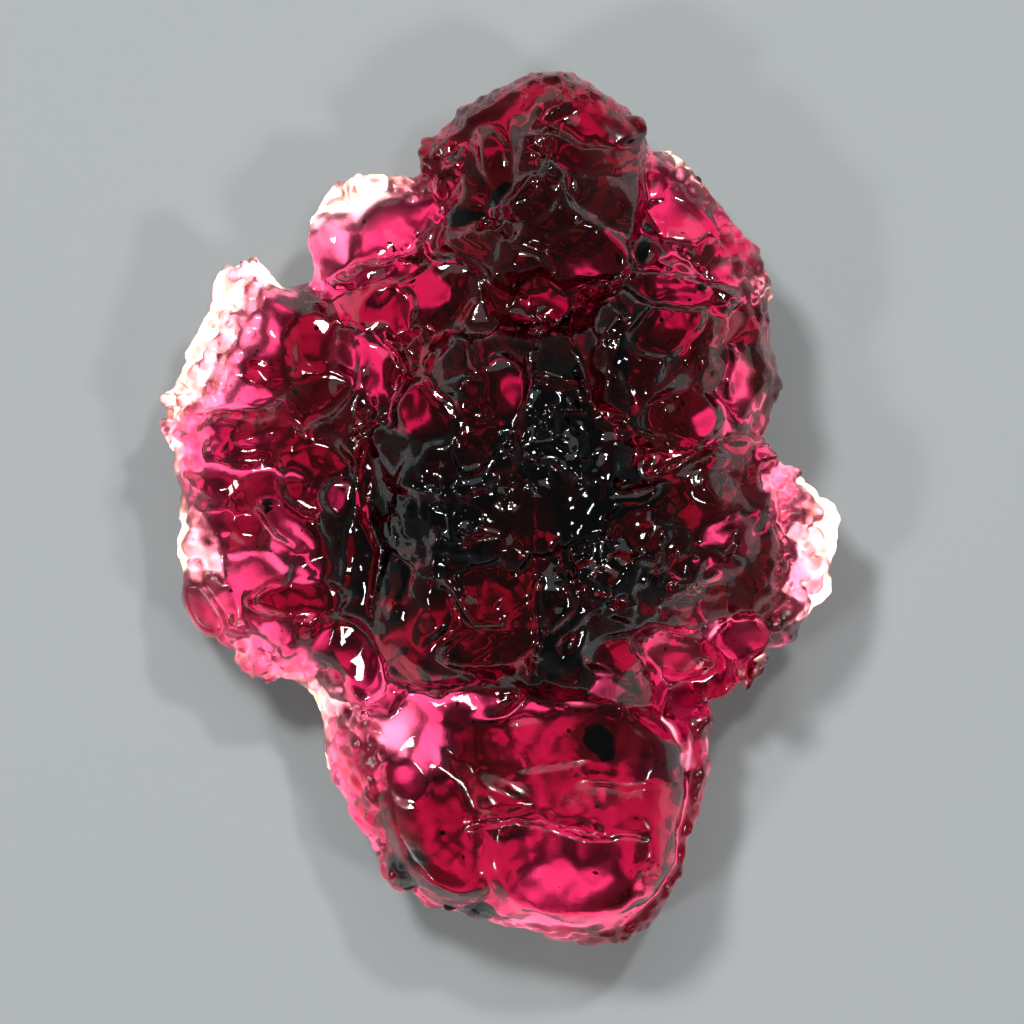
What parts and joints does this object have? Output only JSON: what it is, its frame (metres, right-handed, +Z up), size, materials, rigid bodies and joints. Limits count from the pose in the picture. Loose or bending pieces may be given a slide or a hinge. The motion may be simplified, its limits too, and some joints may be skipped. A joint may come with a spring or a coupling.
{
  "type": "rough painite crystal",
  "caption": "Rough, broken mass of intergrown dark red borate crystals with thin glassy pink edges, lying flat on a fracture face.",
  "frame": {"origin": "middle of the bounding box's floor, under the stone", "axes": "+Z up out of the resting fracture face, +Y along the stone's longest side towards its crown, +X across the broad face"},
  "size_m": [0.0188, 0.0242, 0.0078],
  "materials": {
    "painite": "translucent deep red crystal, glassy fracture faces, granular pale pink rim"
  },
  "bodies": {
    "root": {"painite_crystal_mass": "painite"}
  },
  "joints": []
}
